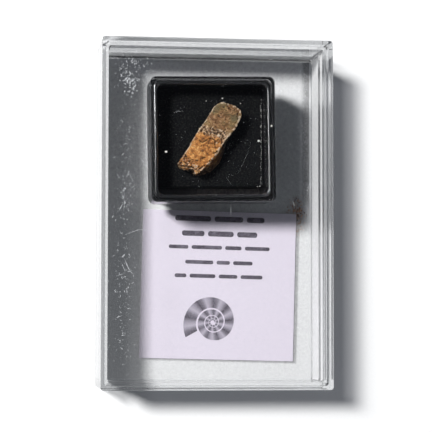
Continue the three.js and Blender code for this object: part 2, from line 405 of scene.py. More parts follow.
def make_case_base():
    seam = CASE_SEAM - SEAM_BELOW
    bands = (SCUFF_LIP_TOP, CASE_SEAM, SCUFF_RIGHT_TOP, SCUFF_FAR_TOP, LIT_FOOT_FRONT, LIT_FOOT_RIGHT)
    bm = moulding(CASE_HALF_X, CASE_HALF_Y, CASE_CORNER, [
        (0, 0, 0.2), (0, seam, 0.05), (CASE_LIP_OUT, seam, 0.03), (CASE_LIP_OUT, CASE_LIP_TOP, 0.05),
        (CASE_LIP_IN, CASE_LIP_TOP, 0.06), *((CASE_LIP_IN, z, 0) for z in bands),
        (CASE_LIP_IN, CASE_FLOOR, FOOT_ROUND),
    ], edge_segments=6)
    inside_x, inside_y = (half - CASE_LIP_IN + FACE_SLACK for half in (CASE_HALF_X, CASE_HALF_Y))

    def in_cavity(middle, normal):
        lit = (middle.x > 0 and normal.x < -0.7 and middle.z < LIT_FOOT_RIGHT) or (
            middle.y < 0 and normal.y > 0.7 and middle.z < LIT_FOOT_FRONT)
        return is_upright(normal) and abs(middle.x) < inside_x and abs(middle.y) < inside_y and not lit

    def wall(low, high, side):
        """The test for an inner face between two heights; side gives how far past it a place is."""
        return lambda middle, normal: (
            is_upright(normal) and low < middle.z < high and -FACE_DEPTH < side(middle) < 0
        )

    def right(middle):
        return middle.x - inside_x

    def far(middle):
        return middle.y - inside_y

    def left(middle):
        return -middle.x - inside_x

    def far_foot(middle, normal):
        return normal.z > 0.1 and middle.z < CASE_FLOOR + FOOT_ROUND and -0.7 < far(middle) < 0

    def lip_top(middle, normal):
        level = normal.z > 0.9 and abs(middle.z - CASE_LIP_TOP) < 0.1
        return level and (left(middle) > 0 or far(middle) > 0)

    def scuffed(name, share, cover, **tone):
        return clear_plastic("case_" + name, share, scuffed=cover, **tone)

    plastics = dress(bm, case_plastic, [
        (clear_plastic("case_cavity_plastic", LAMP_CAVITY), in_cavity),
        (clear_plastic("case_left_plastic", LAMP_LEFT),
         lambda middle, normal: is_upright(normal) and left(middle) > 1 and normal.x < -0.9),
        (clear_plastic("case_far_plastic", LAMP_FAR),
         lambda middle, normal: is_upright(normal) and far(middle) > 1 and normal.y > 0.9),
        (clear_plastic("case_lip_plastic", LAMP_LIP), wall(CASE_SEAM, CASE_LIP_TOP, right)),
        (scuffed("scuffed_right", LAMP_CAVITY, SCUFF_RIGHT), wall(LIT_FOOT_RIGHT, SCUFF_RIGHT_TOP, right)),
        (scuffed("scuffed_lip", LAMP_LIP, SCUFF_RIGHT), wall(CASE_SEAM, SCUFF_LIP_TOP, right)),
        (scuffed("scuffed_far", LAMP_CAVITY, SCUFF_FAR), wall(CASE_FLOOR, SCUFF_FAR_TOP, far)),
        (clear_plastic("case_left_inner_plastic", LAMP_LEFT_INNER, axis="Y"), wall(0, CASE_TOP, left)),
        # the far face's foot, covered in dark grey as painted shade
        (scuffed("painted_shade_foot", LAMP_CAVITY, SHADE_FOOT_COVER, scuff_tone=SHADE_FOOT_TONE), far_foot),
        # the floor's pale scuffs, with a painted shadow by the right wall
        (scuffed("scuffed_floor_painted_shadow", LAMP_OPEN, SCUFF_FLOOR, scuff_tone=floor_scuffs_and_shadow),
         lambda middle, normal: normal.z > 0.9 and abs(middle.z - CASE_FLOOR) < 0.05),
        (scuffed("lip_top", LAMP_OPEN, SCUFF_LIP), lip_top),
    ])
    finished_piece("case_base_moulding", bm, plastics, "case_base_plastic", "case_base")


def make_case_lid():
    seam = CASE_SEAM + SEAM_ABOVE
    bm = moulding(CASE_HALF_X, CASE_HALF_Y, CASE_CORNER, [
        (0, CASE_TOP, 0.12), (0, seam, 0.04), (CASE_WALL, seam, 0.03),
        (CASE_WALL, CASE_TOP - CASE_PLATE, 0.04),
    ], edge_segments=6)
    finished_piece("case_lid_moulding", bm, [case_plastic], "case_lid_plastic", "case_lid")


# ---------------------------- the gem box

GEM_LID_LAMP = (0.97, 0.97, 0.97)      # share of a lamp's light that its top lets through
GEM_WALL_LAMP = (0.1, 0.1, 0.11)       # and its walls
# a dark tint on the lid's walls: painted shade that makes the clear walls read black
GEM_WALL_SHADE_TINT = (0.42, 0.42, 0.43)
BLACK = (0.006, 0.006, 0.007)
RUBBED_BLACK = (0.004, 0.004, 0.0045)
DUST_FILM = (0.05, 0.043, 0.042)
DUST_FILM_X = (-6.0, 1.0)      # where the tray's film of dust starts, and where it is full
FOAM_SHORT = 2.2       # how far the foam stops short of the rim at the label's side


def black_plastic(name, colour, ior, per_mm, smoothest, roughest):
    shader = Shader(name)
    grain = shader.noise(per_mm, detail=4.0)
    return shader.opaque(
        Base_Color=colour, IOR=ior, Roughness=shader.levels(grain, 0.3, 0.7, smoothest, roughest),
        Normal=shader.bump(grain, 0.01, 0.4),
    )


def dusty_black_plastic():
    """The tray's floor and the rim's inner face by the label, filmed with dust to the right."""
    shader = Shader("dusty_black_plastic")
    low, high = DUST_FILM_X
    film = shader.maths(
        "MULTIPLY", shader.levels(shader.axis("X"), low * MM, high * MM),
        shader.levels(shader.noise(1.2), 0.3, 0.6),
    )
    return shader.opaque(
        Base_Color=shader.blend(film, BLACK, DUST_FILM), Roughness=0.5, IOR=1.4,
        Normal=shader.bump(shader.noise(4.0), 0.01, 0.4),
    )


def black_foam():
    shader = Shader("black_foam")
    cells = shader.add("ShaderNodeTexVoronoi", {"Vector": shader.place, "Scale": 4.0 / MM})
    tone = shader.ramp(shader.noise(2.2, detail=4.0, roughness=0.65), [
        (0.36, (0.001, 0.001, 0.0018)), (0.5, (0.0045, 0.005, 0.0055)), (0.6, (0.012, 0.0125, 0.011)),
        (0.72, (0.036, 0.034, 0.03)),
    ])
    return shader.opaque(
        Base_Color=tone, Roughness=0.95, IOR=1.15, Normal=shader.bump(cells.outputs["Distance"], 0.12, 0.8),
    )


def make_gem_base():
    top = GEM_FLANGE_TOP - AIR
    bm = moulding(GEM_HALF, GEM_HALF, GEM_CORNER, [
        (GEM_FOOT, CASE_FLOOR + AIR, 0.25), (GEM_FOOT, GEM_FLANGE_LOW, 0.1), (0, GEM_FLANGE_LOW, 0.15),
        (0, top, 0.12), (GEM_RIM_OUT, top, 0.1), (GEM_RIM_OUT, GEM_RIM_TOP, GEM_RIM_ROUND),
        (GEM_RIM_IN, GEM_RIM_TOP, GEM_RIM_ROUND), (GEM_RIM_IN, GEM_TRAY_TOP, 0),
    ], corner_segments=10, edge_segments=8)

    def on_rim(middle, normal):
        """The rim's outer side, rubbed dull by the lid but for its edge towards the lamp."""
        outward = normal.x * middle.x + normal.y * middle.y > 0.3 * max(abs(middle.x), abs(middle.y))
        towards_lamp = normal.x < -0.2 and normal.z > 0.15
        return outward and middle.z > GEM_FLANGE_TOP and not towards_lamp

    def in_tray(middle, normal):
        on_floor = normal.z > 0.9 and middle.z < GEM_TRAY_TOP + 0.1
        by_label = normal.y > 0.7 and 0 < -middle.y < GEM_HALF - GEM_RIM_IN + 0.1
        return middle.z > GEM_TRAY_TOP - 0.1 and (by_label or on_floor)

    plastics = dress(bm, black_plastic("black_plastic", BLACK, 2.0, 2.5, 0.16, 0.22), [
        (black_plastic("dull_black_plastic", RUBBED_BLACK, 1.2, 2.0, 0.6, 0.8), on_rim),
        (dusty_black_plastic(), in_tray),
    ])
    finished_piece("gem_base_moulding", bm, plastics, "gem_base_plastic", "gem_box_base", place=gem_place)


def make_gem_lid():
    foot = GEM_FLANGE_TOP + AIR
    bm = moulding(GEM_HALF, GEM_HALF, GEM_CORNER, [
        (0, GEM_TOP, 0.3), (0, foot, 0), (GEM_WALL, foot, 0), (GEM_WALL, GEM_TOP - GEM_PLATE, 0),
    ], corner_segments=10, edge_segments=8)
    plastics = dress(bm, clear_plastic("gem_lid_plastic", GEM_LID_LAMP), [
        (clear_plastic("gem_lid_wall_shaded_plastic", GEM_WALL_LAMP, tint=GEM_WALL_SHADE_TINT),
         lambda middle, normal: is_upright(normal)),
    ])
    finished_piece("gem_lid_moulding", bm, plastics, "gem_lid_plastic", "gem_box_lid", place=gem_place)


def make_foam():
    half = GEM_HALF - FOAM_INSET
    bm = moulding(half, half - FOAM_SHORT / 2, 0.8, [(0, GEM_TRAY_TOP + AIR, 0), (0, FOAM_TOP - 0.02, 0.4)])
    bmesh.ops.translate(bm, vec=(0, FOAM_SHORT / 2, 0), verts=bm.verts)
    finished_piece("foam_block", bm, [black_foam()], "black_foam", "foam_pad", place=gem_place)


# ---------------------------- the label card

def make_card():
    bm = moulding(
        CARD_HALF_X, CARD_HALF_Y, 0.2, [(0, CASE_FLOOR + AIR, 0.03), (0, CARD_TOP, 0.04)],
        corner_segments=3, edge_segments=2,
    )
    stock = mottled(
        "card_stock", (1.2, 6.0, 0.7), [(0.3, (0.70, 0.65, 0.74)), (0.7, (0.76, 0.70, 0.79))],
        0.7, 1.45, relief=(0.02, 0.5),
    )
    finished_piece("label_paper", bm, [stock], "printed_card", "label_card", place=card_place)


# ---------------------------- the fossil

# The broken piece's plan, in its own axes: along it towards the smooth end, then
# across it towards the straight edge. Each edge runs the way its name says.
STRAIGHT_EDGE = [   # from the crumbling end
    (-9.38, 3.5), (-7.3, 3.42), (-5.24, 3.36), (-2.4, 3.46), (0.38, 3.5), (2.5, 3.3), (4.58, 3.12),
    (6.2, 3.2), (7.18, 3.2), (8.35, 2.8),
]
BROKEN_EDGE = [     # from the crumbling end
    (-8.17, -2.22), (-7.3, -2.5), (-6.23, -2.9), (-4.3, -3.15), (-2.14, -3.36), (0.2, -3.4), (1.55, -3.5),
    (2.7, -3.85), (3.5, -3.75), (4.13, -3.97), (5.46, -4.15), (6.6, -4.0), (7.73, -3.95), (8.75, -3.75),
]
SMOOTH_END = [      # from the broken edge
    (8.75, -3.75), (9.5, -3.35), (9.95, -2.7), (10.05, -1.27), (9.85, -0.3), (9.55, 0.48), (9.3, 1.4),
    (9.05, 2.1), (8.35, 2.8),
]
CRUMBLING_END = [   # from the broken edge
    (-8.17, -2.22), (-8.9, -2.15), (-9.66, -1.93), (-9.5, -1.1), (-9.1, -0.32), (-9.5, 0.4), (-10.2, 1.09),
    (-10.25, 2.0), (-10.0, 2.86), (-9.38, 3.5),
]
CROWN = [           # place along it, height of the underside, height of the upper face
    (-10.3, 1.1, 3.4), (-9.9, 0.5, 4.1), (-9.2, 0.15, 4.6), (-8.1, 0, 4.95), (-6.2, 0, 5.15),
    (-3.7, 0, 5.3), (-1.0, 0, 5.35), (1.6, 0, 5.3), (4.2, 0, 5.2), (6.6, 0, 5.05), (8.6, 0.2, 4.8),
    (9.6, 0.7, 4.5), (10.1, 1.2, 4.2),
]
FOOT = [            # place along it, how far the broken side slopes out at the bottom
    (-10.0, 0.3), (-8.6, 1.3), (-6.2, 2.1), (-3.7, 2.3), (-1.0, 1.75), (1.6, 0.85), (4.2, 0.25), (9.0, 0.1),
]
CRUST_LINE = [      # place across it, place along it where the smooth skin ends
    (-4.0, 2.3), (-3.3, 2.8), (-2.3, 3.05), (-1.45, 2.95), (-0.86, 2.75), (0, 2.45), (0.75, 2.3),
    (1.47, 2.1), (2.32, 1.95), (3.0, 1.75), (3.6, 1.35),
]
CRUST_WIDTH = 2.1

PITS = [            # along, across, radius
    (1.15, 2.75, 0.27), (0.1, 2.88, 0.3), (0.54, 1.48, 0.22), (-0.17, 1.77, 0.2), (1.8, 1.25, 0.22),
    (1.92, 0.44, 0.22), (1.38, -0.34, 0.25), (1.11, 0.81, 0.17), (-0.14, 1.06, 0.17), (-2.21, 2.02, 0.15),
    (-3.12, 0.86, 0.15), (-2.66, 0.5, 0.15), (-2.37, -0.34, 0.15), (-1.69, -0.35, 0.15), (-1.97, 0.2, 0.12),
    (-7.32, 2.87, 0.3), (-7.45, 2.05, 0.2), (-8.02, 2.72, 0.2), (-7.95, 1.35, 0.2), (-7.5, 0.64, 0.17),
    (-5.53, -1.0, 0.22), (-5.08, -1.36, 0.17), (-6.72, -0.28, 0.17), (-9.8, 2.21, 0.22), (-9.6, 3.0, 0.2),
    (-9.14, 1.37, 0.22), (-8.82, 0.4, 0.2), (-7.76, -1.29, 0.2), (-8.01, -1.82, 0.22), (-6.81, -2.24, 0.17),
    (-5.24, -2.88, 0.2), (8.22, 1.16, 0.2), (8.61, -0.15, 0.27), (8.71, -0.64, 0.17), (7.86, 0.2, 0.1),
    (8.5, -2.65, 0.24), (8.0, -2.89, 0.18), (7.5, -3.31, 0.17), (5.56, 0.96, 0.18), (3.73, 0.84, 0.12),
    (4.11, -2.44, 0.12), (3.6, -2.09, 0.12), (4.66, 0.99, 0.12), (6.15, -2.78, 0.1), (6.25, -1.54, 0.1),
    (2.19, 1.19, 0.15), (1.12, 1.26, 0.17), (1.26, 0.32, 0.17), (0.58, 2.83, 0.15), (-2.21, -3.03, 0.17),
    (-1.67, -2.25, 0.15), (1.14, -1.81, 0.15), (0.98, -2.5, 0.2), (0.4, -3.1, 0.17), (-5.74, 1.66, 0.1),
    (-4.43, 1.45, 0.1), (-4.88, 0.29, 0.1),
]
GROOVES = [         # points along and across, then the half width
    ([(-2.24, 1.94), (-2.23, 1.21), (-1.86, 0.86), (-1.11, 0.45)], 0.13),
    ([(-0.67, 0.14), (-0.09, -0.23), (-0.18, -1.02), (-0.5, -1.55), (-1.21, -1.82)], 0.13),
    ([(1.44, -0.89), (1.91, -0.89), (2.26, -1.26), (2.27, -1.75), (1.97, -2.11)], 0.14),
    ([(-0.08, -1.75), (0.26, -1.72), (0.46, -1.94), (0.35, -2.25), (0.0, -2.35), (-0.2, -2.12)], 0.1),
    ([(-3.14, -2.58), (-2.53, -3.1), (-1.84, -3.25)], 0.14),
    ([(0.98, -2.5), (0.27, -3.1), (-0.42, -3.2)], 0.12),
    ([(-7.07, 3.2), (-7.44, 2.5), (-8.1, 2.38)], 0.14),
    ([(-8.02, 1.55), (-7.07, 0.97), (-6.98, 0.09), (-6.14, -0.5), (-5.17, -1.21)], 0.1),
    ([(-9.8, 2.5), (-9.4, 1.42), (-8.84, 0.3), (-8.75, -1.02), (-7.97, -1.8), (-6.74, -2.35)], 0.15),
]
CRUMBS = [          # along, across, radius
    (1.45, -1.47, 0.35), (8.9, 1.97, 0.25), (9.3, 0.57, 0.2), (9.7, -0.89, 0.2), (9.75, -2.1, 0.2),
    (9.3, -3.0, 0.22), (8.2, -3.55, 0.32), (7.1, -3.8, 0.2), (5.94, -3.95, 0.17), (4.57, -3.77, 0.22),
    (3.14, -3.7, 0.22), (2.19, -3.5, 0.25), (1.4, -3.35, 0.22), (0.82, -3.3, 0.2), (-1.18, -3.2, 0.22),
    (-3.05, -3.2, 0.25), (-4.42, -3.0, 0.27), (-6.1, -2.8, 0.22), (-8.08, -0.69, 0.37), (-9.5, -1.37, 0.22),
    (-10.1, 1.52, 0.25), (-9.35, 3.1, 0.22), (-7.64, -2.2, 0.25), (-9.0, -0.11, 0.25), (2.45, -0.4, 0.25),
    (2.7, -1.12, 0.22), (2.8, -2.03, 0.2), (2.28, 0.81, 0.2), (1.76, 2.1, 0.2), (0.45, 0.69, 0.15),
    (0.25, 2.18, 0.15), (-0.52, -1.97, 0.2), (-0.42, -3.0, 0.2), (0.42, -0.21, 0.15),
]

FOSSIL_CUTS = (172, 66, 44)   # along, across and up
SMOOTHINGS = 4
PIT_DEPTH = 0.3
CRUMB_HEIGHT = 0.14
REACH = 1.0         # no pit or crumb shows farther than this from its middle


def table(rows, x, column=1):
    """The value in a table's column at x, with a straight line between rows."""
    if x <= rows[0][0]:
        return rows[0][column]
    for low, high in zip(rows, rows[1:]):
        if x <= high[0]:
            share = (x - low[0]) / (high[0] - low[0])
            return low[column] + (high[column] - low[column]) * share
    return rows[-1][column]


def limited(x, low=0.0, high=1.0):
    return min(high, max(low, x))


def soft_step(low, high, x):
    """0 below low, 1 above high and a smooth rise between."""
    share = limited((x - low) / (high - low))
    return share * share * (3 - 2 * share)


def rough(place, fineness, *shift):
    """Noise at a place; a shift sets it apart from the others of its fineness."""
    return noise.noise(place * fineness + Vector(shift or (0, 0, 0)))


class Path:
    """A line through points, read by the share of its length."""

    def __init__(self, points):
        self.points = [Vector(p) for p in points]
        self.at = [0.0]
        for a, b in zip(self.points, self.points[1:]):
            self.at.append(self.at[-1] + (b - a).length)

    def point(self, share):
        goal = share * self.at[-1]
        last = len(self.at) - 1
        i = next((i for i in range(1, last) if goal <= self.at[i]), last)
        part = (goal - self.at[i - 1]) / (self.at[i] - self.at[i - 1])
        return self.points[i - 1].lerp(self.points[i], part)

    def distance(self, place):
        best = math.inf
        for a, b in zip(self.points, self.points[1:]):
            line = b - a
            share = limited((place - a).dot(line) / line.length_squared)
            best = min(best, (place - a - line * share).length)
        return best


def fossil_plan():
    """Gives a function from shares along and across to a place inside the four edges."""
    straight, broken = Path(STRAIGHT_EDGE), Path(BROKEN_EDGE)
    smooth, crumbling = Path(SMOOTH_END), Path(CRUMBLING_END)
    corners = [crumbling.point(0), crumbling.point(1), smooth.point(0), smooth.point(1)]

    def place(s, t):
        sides = broken.point(s) * (1 - t) + straight.point(s) * t
        ends = crumbling.point(t) * (1 - s) + smooth.point(t) * s
        low = corners[0] * (1 - t) + corners[1] * t
        high = corners[2] * (1 - t) + corners[3] * t
        return sides + ends - low * (1 - s) - high * s

    return place


def fossil_block():
    """The rough block: a box with fine divisions, drawn to the plan and the crown."""
    bm = bmesh.new()
    bmesh.ops.create_cube(bm, size=2.0)
    for axis, cuts in enumerate(FOSSIL_CUTS):
        along = [e for e in bm.edges if abs((e.verts[0].co - e.verts[1].co)[axis]) > 1e-4]
        bmesh.ops.subdivide_edges(bm, edges=along, cuts=cuts, use_grid_fill=True)
    plan = fossil_plan()
    for vert in bm.verts:
        s, t, rise = ((c + 1) / 2 for c in vert.co)
        flat = plan(s, t)
        base, top = table(CROWN, flat.x, 1), table(CROWN, flat.x, 2)
        crown = 1 - 0.05 * abs(2 * t - 1) ** 4
        foot = table(FOOT, flat.x) * (1 - rise) ** 0.75 * (1 - t) ** 2
        tuck = 0.35 * (1 - rise) ** 2 * t ** 3
        vert.co = (flat.x, flat.y - foot - tuck, base + (top * crown - base) * rise)
    for _ in range(SMOOTHINGS):
        bmesh.ops.smooth_vert(
            bm, verts=bm.verts, factor=0.5, use_axis_x=True, use_axis_y=True, use_axis_z=True,
        )
    return bm


def carve_fossil(bm):
    """Works the pits, grooves, crumbs and grain in, and keeps what each vertex shows."""
    bm.normal_update()
    layers = [bm.verts.layers.float.new(name) for name in ("skin", "crust", "pit", "pale_and_highlight", "rock_and_shade")]
    grooves = [(Path(points), width) for points, width in GROOVES]
    straight, broken, smooth = Path(STRAIGHT_EDGE), Path(BROKEN_EDGE), Path(SMOOTH_END)
    moved = []
    for vert in bm.verts:
        here, normal = vert.co.copy(), vert.normal
        u, v, w = here
        place = Vector((u, v))
        upward = soft_step(0.35, 0.75, normal.z)
        # steep sides: broken rock, whose colour is darkened past the rock's own as painted shade
        rock_and_shade = 1 - soft_step(0.25, 0.6, normal.z)
        past_line = u - (table(CRUST_LINE, v) + 0.35 * rough(here, 1.7) + 0.12 * rough(here, 5))
        skin = soft_step(-0.12, 0.12, past_line)
        crust = (1 - skin) * soft_step(-CRUST_WIDTH - 0.6, -CRUST_WIDTH + 0.6, past_line)
        end = 1 - soft_step(-8.9, -6.9, u + 0.5 * rough(here, 0.8))
        pit = groove = crumb = 0.0
        for pu, pv, radius in PITS:
            if abs(u - pu) < REACH and abs(v - pv) < REACH:
                away = math.hypot(u - pu, v - pv) / (radius * (1 + 0.35 * rough(here, 4, pu, pv, 0)))
                pit = max(pit, 1 - soft_step(0.75, 1.45, away))
        for path, width in grooves:
            away = path.distance(place) / (width * (1.15 + 0.9 * rough(here, 2.6)))
            groove = max(groove, 1 - soft_step(0.6, 1.5, away))
        groove *= soft_step(-0.42, -0.12, rough(here, 1.9, 6, 1, 4))
        for cu, cv, radius in CRUMBS:
            if abs(u - cu) < REACH and abs(v - cv) < REACH:
                away = math.hypot(u - cu, v - cv) / (radius * (1 + 0.5 * rough(here, 5)))
                crumb = max(crumb, 1 - soft_step(0.5, 1.3, away))
        holes = soft_step(0.08, 0.3, rough(here, 2.3, 9, 3, 1)) * crust
        holes = max(holes, soft_step(0.1, 0.3, rough(here, 2.1, 4, 8, 2)) * end)
        speck = soft_step(0.34, 0.5, rough(here, 2.9, 1, 7, 5)) * (0.35 + 0.65 * max(crust, end, skin))
        pit = max(pit, groove * 0.95, holes, speck * 0.75) * upward
        # pale colour along the straight edge, which faces the lamp: a painted highlight; the other rims are
        # pale flakes
        lit_edge = 1 - soft_step(0.12, 0.3, straight.distance(place))
        torn_edge = 1 - soft_step(0.15, 0.42, broken.distance(place) + 0.25 * rough(here, 1.6))
        rim = max(lit_edge, torn_edge, 1 - soft_step(0.15, 0.35, smooth.distance(place)))
        lumps = soft_step(0.12, 0.4, rough(here, 3.1, 2, 2, 8)) * max(crust * 0.8, end)
        pale_and_highlight = max(crumb, lumps) * (0.3 + 0.7 * upward) * (1 - pit)
        pale_and_highlight = max(pale_and_highlight, rim * soft_step(-0.3, 0.2, rough(here, 1.3)) * (1 - pit) * (0.4 + 0.6 * upward))

        grain = noise.noise(Vector((u * 0.5, v * 2.2, w * 2.2)))
        fine = rough(here, 3.4)
        push = 0.10 * rough(here, 0.45)
        push += upward * skin * (0.07 * grain + 0.03 * fine)
        push += upward * (1 - skin) * (0.05 * grain + 0.07 * fine + 0.06 * rough(here, 1.6))
        push += rock_and_shade * (0.30 * (noise.turbulence(here * 1.1, 4, False) - 0.5) + 0.06 * fine)
        push += end * 0.35 * (rough(here, 0.9) + 0.5 * rough(here, 2.2))
        push -= upward * PIT_DEPTH * pit + upward * 0.05 * crust
        push += upward * CRUMB_HEIGHT * pale_and_highlight
        if w < 0.15 and normal.z < -0.5:
            push = 0.0
        moved.append((vert, here + normal * push))
        for layer, value in zip(layers, (skin, crust, pit, pale_and_highlight, rock_and_shade)):
            vert[layer] = value
    for vert, place in moved:
        vert.co = place
        vert.co.z = max(vert.co.z, 0.0)


def fossil_surface():
    shader = Shader("fossil_surface")
    even = shader.add("ShaderNodeMapping", {
        "Vector": shader.place, "Location": -(tooth_centre * MM),
    }).outputs["Vector"]
    drawn = shader.add("ShaderNodeMapping", {
        "Vector": even, "Rotation": (0, 0, -TOOTH_TURN), "Scale": (0.22, 1, 1),
    }).outputs["Vector"]

    def where(name, share, under, over):
        """Lays a colour over another by its share where the vertices show the named form."""
        return shader.blend(shader.maths("MULTIPLY", shader.attribute(name), share), under, over)

    clouds = shader.noise(0.32, 4.0, place=even)
    mottle = shader.noise(1.1, 5.0, 0.65, even)
    streaks = shader.noise(1.9, 4.0, 0.7, drawn)
    speckle = shader.noise(3.6, 3.0, 0.7, even)

    tan = shader.ramp(streaks, [
        (0.34, (0.045, 0.024, 0.008)), (0.45, (0.15, 0.083, 0.03)), (0.54, (0.29, 0.175, 0.068)),
        (0.66, (0.5, 0.33, 0.15)),
    ])
    pinkish = shader.ramp(mottle, [
        (0.36, (0.1, 0.04, 0.012)), (0.5, (0.26, 0.13, 0.055)), (0.64, (0.5, 0.31, 0.17)),
    ])
    skin = shader.blend(shader.levels(clouds, 0.46, 0.6), tan, pinkish)
    grey = shader.blend(shader.levels(clouds, 0.5, 0.38), skin, (0.15, 0.12, 0.06))
    orange = shader.ramp(mottle, [
        (0.32, (0.08, 0.024, 0.006)), (0.43, (0.32, 0.115, 0.026)), (0.53, (0.56, 0.225, 0.055)),
        (0.64, (0.84, 0.46, 0.16)),
    ])
    crusty = shader.ramp(speckle, [
        (0.32, (0.07, 0.03, 0.01)), (0.44, (0.3, 0.16, 0.07)), (0.56, (0.48, 0.34, 0.21)),
        (0.7, (0.7, 0.57, 0.43)),
    ])
    # the broken sides' colour: rock, made darker than it is as painted shade
    shaded_bare_rock = shader.ramp(mottle, [
        (0.36, (0.006, 0.005, 0.003)), (0.52, (0.03, 0.024, 0.015)), (0.68, (0.16, 0.13, 0.085)),
    ])
    # pale crumbs, crust and rims, and a painted highlight along the straight edge
    pale_and_highlight = shader.ramp(speckle, [(0.35, (0.5, 0.34, 0.2)), (0.6, (0.86, 0.7, 0.52))])
    deep = shader.ramp(speckle, [(0.4, (0.012, 0.005, 0.002)), (0.7, (0.075, 0.032, 0.012))])

    colour = where("skin", 1.0, orange, grey)
    colour = where("crust", 0.8, colour, crusty)
    colour = shader.blend(shader.levels(speckle, 0.52, 0.36, 0.0, 0.75), colour, (0.1, 0.055, 0.025))
    colour = where("rock_and_shade", 0.85, colour, shaded_bare_rock)
    colour = where("pale_and_highlight", 1.0, colour, pale_and_highlight)
    colour = where("pit", 1.0, colour, deep)
    coarse = shader.bump(speckle, 0.09, 0.8)
    crystals = shader.noise(9, detail=2.0, place=even)
    return shader.opaque(
        Base_Color=colour, Roughness=shader.levels(mottle, 0.3, 0.7, 0.55, 0.9), IOR=1.3,
        Normal=shader.bump(crystals, 0.03, 0.7, Normal=coarse),
    )


def make_fossil():
    bm = fossil_block()
    carve_fossil(bm)
    bmesh.ops.recalc_face_normals(bm, faces=bm.faces)
    for face in bm.faces:
        face.smooth = True
    finished_piece(
        "fossil_fragment", bm, [fossil_surface()], "fossil_tooth", "tooth_fragment", place=tooth_place,
    )


# ---------------------------- the printed design

INK_RISE = 0.012
INK_THICKNESS = 0.02
WORD_ROWS = [       # height on the card, bar thickness, lengths of the bars, then the gap between them
    (16.9, 1.35, [9.2, 7.4, 4.6], 0.9),
    (13.1, 1.35, [5.8, 6.6, 5.2], 0.9),
    (9.6, 0.95, [5.0, 7.8, 4.2, 6.4], 0.85),
    (5.8, 0.95, [7.2, 3.4, 5.0], 0.85),
    (2.3, 0.95, [3.0, 6.6, 4.8, 5.6], 0.85),
]
SPIRAL_CENTRE = (-1.2, -9.4)
SPIRAL_TURNS = 3.6
SPIRAL_STEPS = 36   # in one turn
SPIRAL_RADIUS = 8.0
SPIRAL_GROWTH = 1.95
SPIRAL_GAP = 0.06
RIB_SHADES = (0.0, 0.55, 0.9, 0.25)   # in turn, from step to step


def printing_ink():
    shader = Shader("printing_ink")
    tone = shader.ramp(shader.noise(3.2, detail=3.0, roughness=0.7), [
        (0.34, (0.035, 0.03, 0.04)), (0.52, (0.075, 0.065, 0.085)), (0.7, (0.2, 0.18, 0.22)),
    ])
    worn = shader.levels(shader.noise(0.5, detail=3.0), 0.45, 0.7, 0.0, 0.5)
    faded = shader.blend(worn, tone, (0.24, 0.22, 0.27))
    shade = shader.blend(shader.attribute("shade"), faded, (0.5, 0.46, 0.54))
    return shader.opaque(Base_Color=shade, Roughness=0.65, IOR=1.4)


def raise_ink(bm, faces):
    raised = bmesh.ops.extrude_face_region(bm, geom=faces)["geom"]
    bmesh.ops.translate(bm, vec=(0, 0, INK_THICKNESS), verts=only_verts(raised))


def print_piece(name, bm):
    bmesh.ops.recalc_face_normals(bm, faces=bm.faces)
    place = card_place @ Matrix.Translation((0, 0, CARD_TOP + INK_RISE))
    finished_piece(name, bm, [printing_ink()], "printed_card", place=place)


def add_ink_bar(bm, x, y, length, thickness):
    """A bar with round ends."""
    made = rounded_plate(bm, (x + length / 2, y, 0), length / 2, thickness / 2, thickness * 0.42, 4)
    outline = {vert for face in made["faces"] for vert in face.verts} or set(made["verts"])
    raise_ink(bm, [face for face in bm.faces if outline.issuperset(face.verts)])


def make_word_bars():
    bm = bmesh.new()
    for height, thickness, lengths, gap in WORD_ROWS:
        x = -(sum(lengths) + gap * (len(lengths) - 1)) / 2
        for length in lengths:
            add_ink_bar(bm, x, height, length, thickness)
            x += length + gap
    bm.verts.layers.float.new("shade")
    print_piece("word_bars", bm)


def make_spiral_shell():
    """A ribbed spiral shell: one radial edge is drawn round and grows, and every few steps make a rib."""
    bm = bmesh.new()
    growth = SPIRAL_GROWTH ** (1 / SPIRAL_STEPS)
    inner = SPIRAL_RADIUS * SPIRAL_GROWTH ** -SPIRAL_TURNS
    start = [bm.verts.new((inner * r, 0, 0)) for r in (1 / SPIRAL_GROWTH + SPIRAL_GAP, 0.78, 0.94, 1.0)]
    edges = [bm.edges.new(pair) for pair in zip(start, start[1:])]
    shade = bm.verts.layers.float.new("shade")
    turn = Matrix.Rotation(2 * math.pi / SPIRAL_STEPS, 3, "Z")
    for step in range(int(SPIRAL_TURNS * SPIRAL_STEPS)):
        verts, edges = draw_out(bm, edges)
        bmesh.ops.rotate(bm, cent=(0, 0, 0), matrix=turn, verts=verts)
        bmesh.ops.scale(bm, vec=(growth, growth, 1), verts=verts)
        for vert in verts:
            vert[shade] = RIB_SHADES[step % len(RIB_SHADES)]
    raise_ink(bm, bm.faces[:])
    bmesh.ops.translate(bm, vec=(*SPIRAL_CENTRE, 0), verts=bm.verts)
    print_piece("spiral_shell_print", bm)


# ---------------------------- wear and dust

